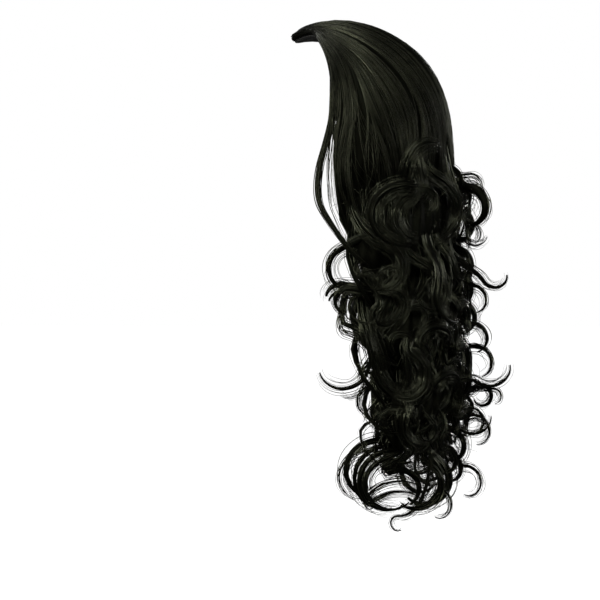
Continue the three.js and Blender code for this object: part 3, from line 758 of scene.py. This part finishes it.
# Small loose curls scattered over the fall, between and on the larger ones.
smallSizes = {
    "count": 54, "bodyPoints": 16, "bodySides": 5, "strands": 14, "points": 18, "strandRadius": (0.24, 0.42),
    "seed": 61, "bodyShare": 0.5, "bodyTip": 0.2, "fan": 0.3, "loose": 0.9, "frizz": 0.6, "sink": 4,
    "reach": 80, "jitter": 2, "aside": 9, "drop": (26, 42), "turn": (150, 250),
    "ranges": {
        "up": (-408, -248), "radius": (9, 17), "start": (20, 160), "flat": (1.8, 3.4), "deep": (1.6, 2.6),
        "lift": (0, 6), "tone": (0.3, 0.95),
    },
}


# One row for each small curl: evenly set angles with a seeded shift, and the rest from its own range.
def smallTable():
    s, rng = smallSizes, np.random.default_rng(smallSizes["seed"])
    count = s["count"]
    angle = np.linspace(-s["reach"], s["reach"], count) + rng.normal(0, s["jitter"], count)
    rows = {name: rng.uniform(*limits, count) for name, limits in s["ranges"].items()}
    rows["angle"], rows["rootAngle"] = angle, angle + rng.uniform(-s["aside"], s["aside"], count)
    rows["end"] = rows["start"] + rng.choice([-1, 1], count) * rng.uniform(*s["turn"], count)
    rows["rootUp"] = rows["up"] + rng.uniform(*s["drop"], count)
    return rows


laidRandom = np.random.default_rng(laidSizes["seed"])
toPlane = -np.radians(1.0) * fall["round"]  # millimetres across for each degree round the fall
for table, sizes in ((laidTable(False), laidSizes), (laidTable(True), laidSizes), (smallTable(), smallSizes)):
    table["across"], table["rootAcross"] = table["angle"] * toPlane, table["rootAngle"] * toPlane
    for side, (low, high) in groups.items():
        keep = (table["angle"] > low) & (table["angle"] <= high)
        if not keep.any():
            continue
        rows = chosen(table, keep)
        body, hair = dressed(laidPath, outAndAlong(rows["angle"])[0], rows, sizes, laidRandom)
        bodies[side].append(body)
        curls[side].append(hair)
print("laid curls computed")

# Curls that stand out from the outline: arcs in upright planes, with angle 0 to the back.
standSizes = {
    "bodyPoints": 30, "bodySides": 6, "strands": 16, "points": 30, "strandRadius": (0.24, 0.46), "seed": 31,
    "bodyShare": 0.55, "bodyTip": 0.3, "fan": 0.28, "loose": 1.0, "frizz": 0.65, "sink": 0, "rootSink": 0,
    "rootTo": 0.35, "deepShare": 0.9,
}
standColumns = [
    "x", "across", "up", "radius", "start", "end", "flat", "rootAcross", "rootUp", "slant", "tone",
]
standRows = {
    "back": [
        (6, 125, -181, 21, 105, -85, 10, 104, -152, 0.7, 0.5),
        (-4, 152, -246, 13, -150, 15, 5, 108, -216, -0.7, 0.5),
        (14, 131, -272, 15, 70, -80, 3.4, 108, -238, 0.7, 0.4),
        (-12, 126, -311, 17, 85, -70, 4.4, 106, -286, -0.7, 0.4),
        (4, 134, -334, 17, 95, -75, 4, 106, -308, 0.7, 0.5),
        (12, 149, -334, 22, -130, 5, 3.8, 108, -346, -0.7, 0.5),
        (-6, 138, -366, 11, 140, -170, 5, 106, -350, 0.7, 0.4),
        (2, 132, -385, 19, -175, 5, 3.4, 106, -362, -0.7, 0.5),
        (-8, 123, -452, 16, 95, -115, 2.8, 102, -414, 0.7, 0.5),
        (20, 82, -450, 25, 60, -140, 8, 95, -408, -0.7, 0.6),
        (29, 59, -491, 8, 90, 330, 3, 95, -416, 0.7, 0.4),
        (8, 128, -162, 15, 95, -20, 1.8, 106, -138, 0.9, 0.4),
        (2, 134, -201, 17, -135, -30, 1.8, 106, -206, 0.6, 0.4),
        (4, 105, -156, 16, 80, -60, 6, 100, -116, 0.6, 0.5),
        (-8, 120, -207, 16, 40, -40, 1.8, 112, -180, -0.9, 0.4),
        (-16, 131, -402, 16, 110, -95, 2.4, 106, -382, 0.8, 0.4),
        (10, 126, -392, 15, 75, -100, 2.4, 108, -360, -0.8, 0.5),
        (14, 152, -366, 8, 85, -95, 1.8, 118, -350, 0.9, 0.4),
        (18, 96, -472, 16, 40, -110, 2, 96, -430, 0.8, 0.4),
        (26, 82, -440, 22, 110, 330, 6, 88, -394, 0.6, 0.5),
        (-26, 78, -430, 26, 75, -130, 5, 92, -390, 0.7, 0.5),
        (-34, 70, -424, 24, 110, 310, 4.4, 88, -384, -0.8, 0.5),
        (-6, 88, -438, 20, 100, 320, 4, 92, -396, 1.2, 0.5),
        (-6, 112, -238, 18, 80, -100, 7, 104, -200, 0.8, 0.5),
        (-10, 112, -290, 18, 90, -90, 7, 104, -250, -1.0, 0.5),
        (8, 112, -352, 17, 85, -100, 7, 104, -310, 0.9, 0.5),
        (-8, 110, -170, 18, 100, -95, 7, 100, -128, 0.6, 0.5),
        (-4, 106, -416, 17, 90, -110, 7, 102, -368, 0.8, 0.5),
        (14, 100, -430, 15, 100, -100, 7, 96, -385, -0.5, 0.5),
        (-18, 104, -440, 14, 110, -120, 6, 98, -395, 0.6, 0.5),
        (4, 116, -378, 13, 100, -115, 5, 104, -340, -0.8, 0.5),
        (-12, 108, -198, 20, 95, -90, 7, 102, -150, -0.6, 0.5),
        (-10, 112, -262, 18, 90, -95, 6, 104, -215, 0.7, 0.5),
    ],
    "left": [
        (60, 57, -448, 31, 100, 305, 5.5, 72, -400, -0.4, 0.6),
        (57, 54, -446, 34, 92, 285, 4.5, 68, -396, -0.3, 0.4),
        (63, 60, -450, 27, 108, 318, 4.5, 74, -404, -0.6, 0.5),
        (85, 23, -242, 23, 120, 285, 5.5, 40, -200, -0.4, 0.5),
        (82, 10, -273, 17, 80, 165, 7.5, 46, -250, -0.4, 0.5),
        (80, 12, -280, 18, 80, 155, 5, 46, -256, -0.4, 0.5),
        (80, 20, -256, 14, -60, -150, 3.4, 46, -246, -0.4, 0.5),
        (80, 10, -332, 26, -15, -165, 4.4, 50, -300, -0.4, 0.5),
        (50, 75, -450, 28, 60, -125, 5.5, 90, -402, -0.5, 0.6),
        (46, 78, -453, 25, 68, -140, 4.5, 92, -406, -0.3, 0.4),
        (54, 72, -446, 31, 50, -112, 4, 88, -398, -0.6, 0.5),
        (50, 62, -457, 21, 110, -60, 7, 60, -408, -0.5, 0.6),
        (44, 56, -460, 27, 100, -35, 4.5, 58, -404, -0.4, 0.5),
        (60, 44, -438, 31, 85, 265, 6, 62, -396, -0.6, 0.5),
        (62, 33, -444, 26, 110, 262, 1.4, 56, -400, -0.5, 0.4),
        (68, 42, -370, 17, 140, 265, 1.8, 56, -340, -0.5, 0.4),
        (72, 15, -352, 15, 20, -130, 1.2, 50, -310, -0.5, 0.4),
        (50, 70, -414, 18, 120, 300, 7, 76, -376, -0.5, 0.5),
    ],
    "right": [
        (-60, 58, -422, 28, 80, 280, 6, 75, -384, 0.4, 0.6),
        (-85, 26, -252, 20, 120, 285, 3.8, 42, -204, 0.4, 0.5),
        (-80, 16, -326, 22, -15, -165, 3.8, 50, -294, 0.4, 0.5),
        (-48, 66, -424, 28, 95, -110, 5.4, 74, -380, 0.5, 0.6),
        (-54, 46, -418, 24, 70, 285, 2.6, 66, -376, 0.6, 0.5),
        (-56, 62, -408, 20, 120, 300, 4.4, 72, -370, 0.5, 0.5),
    ],
}

# Large arcs that lie against the fall in slanted planes, their roots sunk under the combed hair.
arcSizes = {
    **standSizes, "strands": 18, "bodyShare": 0.5, "fan": 0.1, "loose": 0.6, "frizz": 0.4, "rootSink": 24,
}
arcRows = {
    "left": [
        (74, 79, -187, 42, 60, -52, 4.5, 82, -124, -1.2, 0.8),
        (71, 80, -189, 38, 66, -40, 3.6, 80, -126, -1.2, 0.6),
        (76, 78, -188, 45, 54, -62, 3, 84, -122, -1.2, 0.7),
        (56, 72, -493, 50, 139, 58, 2, 27, -432, -0.4, 0.5),
        (58, 72, -503, 50, 135, 62, 2.6, 30, -438, -0.4, 0.5),
    ],
    "right": [
        (-72, 76, -196, 40, 60, -50, 4.5, 80, -130, 1.2, 0.7),
        (-74, 78, -194, 43, 56, -60, 3, 82, -128, 1.2, 0.6),
    ],
}


# An arc in its upright plane, which leans across by the slant; the root is moved towards the middle.
def standPath(rows, share):
    across, up = curlPlane(rows, share)
    x = rows["x"] + rows["slant"] * (across - rows["across"])
    sunk = np.sign(rows["x"]) * rows["rootSink"] * (1 - smooth(share, 0, rows["rootTo"]))
    return vectors(x - sunk, across, up)


standRandom = np.random.default_rng(standSizes["seed"])
for listed, sizes in ((standRows, standSizes), (arcRows, arcSizes)):
    for side in [name for name in groups if name in listed]:
        rows = dict(zip(standColumns, np.array(listed[side], float).T))
        rows["deep"] = rows["flat"] * sizes["deepShare"]
        rows["rootSink"] = np.full(len(rows["x"]), float(sizes["rootSink"]))
        rows["rootTo"] = np.full(len(rows["x"]), sizes["rootTo"])
        axis = unit(vectors(1 + 0 * rows["slant"], -rows["slant"], 0 * rows["slant"]))
        body, hair = dressed(standPath, axis, rows, sizes, standRandom)
        bodies[side].append(body)
        curls[side].append(hair)
print("standing curls computed")

# Wisps: single hairs that leave the fall and bend in an arc of their own.
wispSizes = {
    "count": 110, "points": 18, "strandRadius": (0.2, 0.34), "radius": (9, 19), "turn": (90, 270), "seed": 51,
    "height": (-430, -170), "inset": 9, "foremost": 84, "outShare": 0.6, "tone": (0.2, 0.9),
}


# Arcs of circles from seeded places on the fall: a sine along a seeded direction, 1 less the cosine across.
def wisps(low, high):
    s, rng = wispSizes, np.random.default_rng(wispSizes["seed"] + int(high))
    count = s["count"]
    angle = rng.uniform(max(low, -s["foremost"]), min(high, s["foremost"]), count)
    height = rng.uniform(*s["height"], count)
    roll = rng.uniform(0, 2 * np.pi, count)[:, None]
    outwards, sideways = outAndAlong(angle)
    along = unit(outwards * s["outShare"] + sideways * np.cos(roll) + np.array([0, 0, 1.0]) * np.sin(roll))
    bent = unit(np.cross(along, rng.normal(0, 1, along.shape)))
    radius = rng.uniform(*s["radius"], count)[:, None]
    arc = np.linspace(0, 1, s["points"])[None] * np.radians(rng.uniform(*s["turn"], count))[:, None]
    moveAlong, moveBent = radius * np.sin(arc), radius * (1 - np.cos(arc))
    paths = hanging(angle, height, s["inset"])[:, None] + along[:, None] * moveAlong[..., None]
    paths = paths + bent[:, None] * moveBent[..., None]
    return strandTubes(paths, rng.uniform(*s["strandRadius"], count), rng.uniform(*s["tone"], count))


for side, (low, high) in groups.items():
    curls[side].append(wisps(low, high))
    node = [side + "_curls"]
    makeMesh(side + "_lock_bodies", bodies[side], curlShadedMaterial, node)
    makeMesh(side + "_lock_strands", hairs[side], strandMaterial, node)
    makeMesh(side + "_curl_strands", curls[side], strandMaterial, node)

# Ear locks: a few strands together at the front of each side, along a short table of places.
earSizes = {
    "points": 56, "strands": 26, "strandRadius": (0.3, 0.5), "seed": 41, "bodySides": 8, "bodyShare": 0.75,
    "edgeAngle": 87, "edgeWay": (0.45, 0.62, 0.8), "edgeWide": (0.3, 1.2, 2.4), "edgeLift": -1.5,
    "twist": 2.5, "fill": (0.2, 1.3), "stray": 14, "strays": 4, "strayShare": (0.5, 1),
    "strayOut": (0.2, 0.55), "strayBack": (0.6, 1), "bodyPaintedShade": 0.1, "flute": 0.1, "tone": (0.1, 0.6),
}
earTable = {
    "x": [80.2, 84, 87, 89, 92, 95, 97, 96, 91], "y": [1, -3.4, -9, -11, -8, 1.4, 12, 23, 36],
    "z": [-96.9, -120, -143, -163, -180, -196, -211, -225, -237],
    "wide": [3, 3.3, 3.5, 3.5, 3.4, 3.2, 3, 2.8, 2.4],
}


# A smooth value through a table's even rows: the cubic that passes each row with the slope of its neighbours.
def through(values, share):
    values = np.asarray(values, float)
    at = np.clip(share, 0, 1) * (len(values) - 1)
    low = np.minimum(at.astype(int), len(values) - 2)
    t = at - low
    p0, p1 = values[np.maximum(low - 1, 0)], values[low]
    p2, p3 = values[low + 1], values[np.minimum(low + 2, len(values) - 1)]
    square, cube = 2 * p0 - 5 * p1 + 4 * p2 - p3, 3 * p1 - p0 - 3 * p2 + p3
    return 0.5 * (2 * p1 + (p2 - p0) * t + square * t ** 2 + cube * t ** 3)


# The crown's edge and then the table as one cubic path: a body on it, strands that wind round it, and a few
# of them that stray back from it and return.
def earLock(hand, rng):
    s = earSizes
    edge = onCrown(np.full(len(s["edgeWay"]), s["edgeAngle"]), np.array(s["edgeWay"]), s["edgeLift"])
    table = {name: np.append(edge[:, axis], earTable[name]) for axis, name in enumerate("xyz")}
    table["wide"] = np.append(s["edgeWide"], earTable["wide"])
    count = s["strands"] + 1  # the first path is the body's
    share = np.broadcast_to(np.linspace(0, 1, s["points"]), (count, s["points"]))
    paths = vectors(*(through(table[name], share) for name in "xyz"))
    turn = rng.uniform(0, 2 * np.pi, (count, 1)) + s["twist"] * share
    wide = through(table["wide"], share)
    size = wide * np.sqrt(rng.uniform(*s["fill"], (count, 1)))
    size[0] = 0
    paths = paths + vectors(np.cos(turn) * size, np.sin(turn) * size, 0 * size)
    strayed = np.where(np.arange(count) >= count - s["strays"], s["stray"], 0)[:, None]
    strayed = strayed * rng.uniform(*s["strayShare"], strayed.shape)
    paths[..., 1] += strayed * smooth(share, *s["strayOut"]) * (1 - smooth(share, *s["strayBack"]))
    paths[..., 0] *= hand
    across, outwards = carriedFrames(paths[:1])
    thick = wide[:1] * s["bodyShare"]
    # Painted shade: the body is darker than the strands that wind round it.
    tone = np.array([s["bodyPaintedShade"]])
    body = tubes(paths[:1], across, outwards, thick, thick, s["bodySides"], tone, s["flute"])
    radius = rng.uniform(*s["strandRadius"], s["strands"])
    return body, strandTubes(paths[1:], radius, rng.uniform(*s["tone"], s["strands"]))


earRandom = np.random.default_rng(earSizes["seed"])
for side, hand in (("left", 1), ("right", -1)):
    body, hair = earLock(hand, earRandom)
    makeMesh(side + "_ear_body", [body], curlShadedMaterial, [side + "_ear_lock"])
    makeMesh(side + "_ear_strands", [hair], combedMaterial, [side + "_ear_lock"])

# Cap: an elastic net wall with raised rows of sewn hair inside, open below.
capSizes = {
    "wall": 1.4, "back": 1.2, "sides": 72, "rows": 64, "row": 0.9, "rowCount": 13, "rowSharp": 3,
    "lining": 0.3, "pole": 0.01, "tone": 0.5,
}
capLook = {
    "name": "elastic_net", "pattern": "TexVoronoi", "scale": 420, "output": "Distance",
    "first": (0.016, 0.016, 0.0145), "last": (0.003, 0.003, 0.0028), "lastAt": 0.3, "bump": 0.4,
    "bumpDepth": 0.0005, "roughness": 0.55, "specular": 0.15,
}
combLook = {
    "name": "comb_plastic", "pattern": "TexNoise", "scale": 300, "output": "Fac",
    "first": (0.004, 0.004, 0.004), "last": (0.012, 0.012, 0.011), "lastAt": 1, "bump": 0.1,
    "bumpDepth": 0.0002, "roughness": 0.5, "specular": 0.1,
}


# The cap's section runs from its pole over the outside to the rim and back inside, where a sharpened cosine
# makes its rows.
def capShell():
    s = capSizes
    turn = 180 - np.arange(s["sides"]) * 360 / s["sides"]
    share = np.concatenate([np.linspace(s["pole"], 1, s["rows"]), np.linspace(1, s["pole"], s["rows"])])
    inside = np.repeat([0.0, 1.0], s["rows"])[:, None]
    rise = s["row"] * np.abs(np.cos(np.pi * s["rowCount"] * share)) ** s["rowSharp"]
    way = onDome((reachOf(turn)[None] - s["back"]) * share[:, None], turn[None])
    high = mix(s["wall"], s["lining"] - rise[:, None], inside) + 0 * turn[None]
    return ringed(overDome(way, high, high)[None], np.array([s["tone"]]))


# Net and plastic: one fine pattern on Object coordinates sets the colour and the bump.
def patternMaterial(look):
    material, nodes, links, shader = newMaterial(look["name"])
    place = nodes.new("ShaderNodeTexCoord")
    pattern = addNode(nodes, look["pattern"], {"Scale": look["scale"]})
    bump = addNode(nodes, "Bump", {"Strength": look["bump"], "Distance": look["bumpDepth"]})
    if look["pattern"] == "TexVoronoi":
        pattern.feature = "DISTANCE_TO_EDGE"
        bump.invert = True  # the threads stand proud of the cells
    ramp = addRamp(nodes, look["first"], 0, look["last"], look["lastAt"])
    wire(
        links, (place, "Object", pattern, "Vector"), (pattern, look["output"], ramp, "Fac"),
        (ramp, "Color", shader, "Base Color"), (pattern, look["output"], bump, "Height"),
        (bump, "Normal", shader, "Normal"),
    )
    shader.inputs["Roughness"].default_value = look["roughness"]
    shader.inputs["Specular IOR Level"].default_value = look["specular"]
    return material


makeMesh("cap_net", [capShell()], patternMaterial(capLook), ["cap"])

# The comb keeps its solid and gets a finish.
comb = bpy.data.objects["front_comb"]
comb.data.materials.clear()
comb.data.materials.append(patternMaterial(combLook))
print("comb finished")

# Floor, lights and camera, in metres.
studio = {
    "floorDrop": 0.3, "floorHalf": 40, "floorColour": (0.94, 0.94, 0.94), "floorRoughness": 1,
    "floorSpecular": 0, "white": (1, 1, 1, 1), "sky": 0.08, "back": 1.0, "sun": 3.7, "sunSoft": 32,
    "sunFrom": (0.13, -0.46, 0.87), "panelSize": 0.7,
    "panels": {
        "front_left": (1.6, -1.45, 0.35, 50), "left": (1.9, 0.5, 1.0, 23),
        "back_left": (1.4, 1.5, 1.0, 19), "front_right": (-0.8, -1.7, 1.3, 22),
        "right": (-2.1, 0.9, 0.3, 40), "back_right": (-0.6, 2.1, 0.5, 12),
    },
    "lightTarget": (0, 0.04, -0.24), "target": (0.0075, -0.0424, -0.271), "yaw": 10, "distance": 2.2,
    "lens": 132, "sensor": 36,
}


# A square some way below the lowest curl.
def makeFloor():
    low, half = cadBox[0][2] - studio["floorDrop"], studio["floorHalf"]
    corners = [(-half, -half, low), (half, -half, low), (half, half, low), (-half, half, low)]
    mesh = bpy.data.meshes.new("floor")
    mesh.from_pydata(corners, [], [(0, 1, 2, 3)])
    material, _, _, shader = newMaterial("pale_floor")
    shader.inputs["Base Color"].default_value = studio["floorColour"] + (1,)
    shader.inputs["Roughness"].default_value = studio["floorRoughness"]
    shader.inputs["Specular IOR Level"].default_value = studio["floorSpecular"]
    mesh.materials.append(material)
    floor = bpy.data.objects.new("floor", mesh)
    bpy.context.collection.objects.link(floor)
    floor.visible_glossy = False  # no floor glare in the sheen of the hair


# A light or camera put at start and turned to look at its target.
def aim(item, start, target):
    item.location = start
    item.rotation_mode = "QUATERNION"
    item.rotation_quaternion = (Vector(target) - Vector(start)).to_track_quat("-Z", "Y")


# A sun with a soft angle, or a panel with a side length, aimed at the hair.
def makeLight(name, kind, energy, start, size):
    data = bpy.data.lights.new(name, kind)
    data.energy = energy
    if kind == "SUN":
        data.angle = math.radians(size)
    else:
        data.size = size
    item = bpy.data.objects.new(name, data)
    bpy.context.collection.objects.link(item)
    aim(item, start, studio["lightTarget"])


# A faint white sky that lights the hair, and a full white one behind it.
def makeWorld():
    world = bpy.data.worlds.new("studio")
    world.use_nodes = True
    nodes, links = world.node_tree.nodes, world.node_tree.links
    light, seen = nodes["Background"], nodes.new("ShaderNodeBackground")
    for sky, strength in ((light, studio["sky"]), (seen, studio["back"])):
        sky.inputs["Color"].default_value = studio["white"]
        sky.inputs["Strength"].default_value = strength
    path, both = nodes.new("ShaderNodeLightPath"), nodes.new("ShaderNodeMixShader")
    wire(
        links, (path, "Is Camera Ray", both, "Fac"), (light, "Background", both, 1),
        (seen, "Background", both, 2), (both, "Shader", nodes["World Output"], "Surface"),
    )
    bpy.context.scene.world = world


makeFloor()
makeWorld()
makeLight("sky_panel", "SUN", studio["sun"], studio["sunFrom"], studio["sunSoft"])
for name, (x, y, z, watts) in studio["panels"].items():
    makeLight(name + "_panel", "AREA", watts, (x, y, z), studio["panelSize"])

yaw = math.radians(studio["yaw"])
camera = bpy.data.objects.new("camera", bpy.data.cameras.new("camera"))
camera.data.lens = studio["lens"]
camera.data.sensor_width = studio["sensor"]
bpy.context.collection.objects.link(camera)
target = Vector(studio["target"])
aim(camera, target + studio["distance"] * Vector((math.cos(yaw), math.sin(yaw), 0)), target)
bpy.context.scene.camera = camera
bpy.context.scene.view_settings.view_transform = "Standard"
print("scene lit")
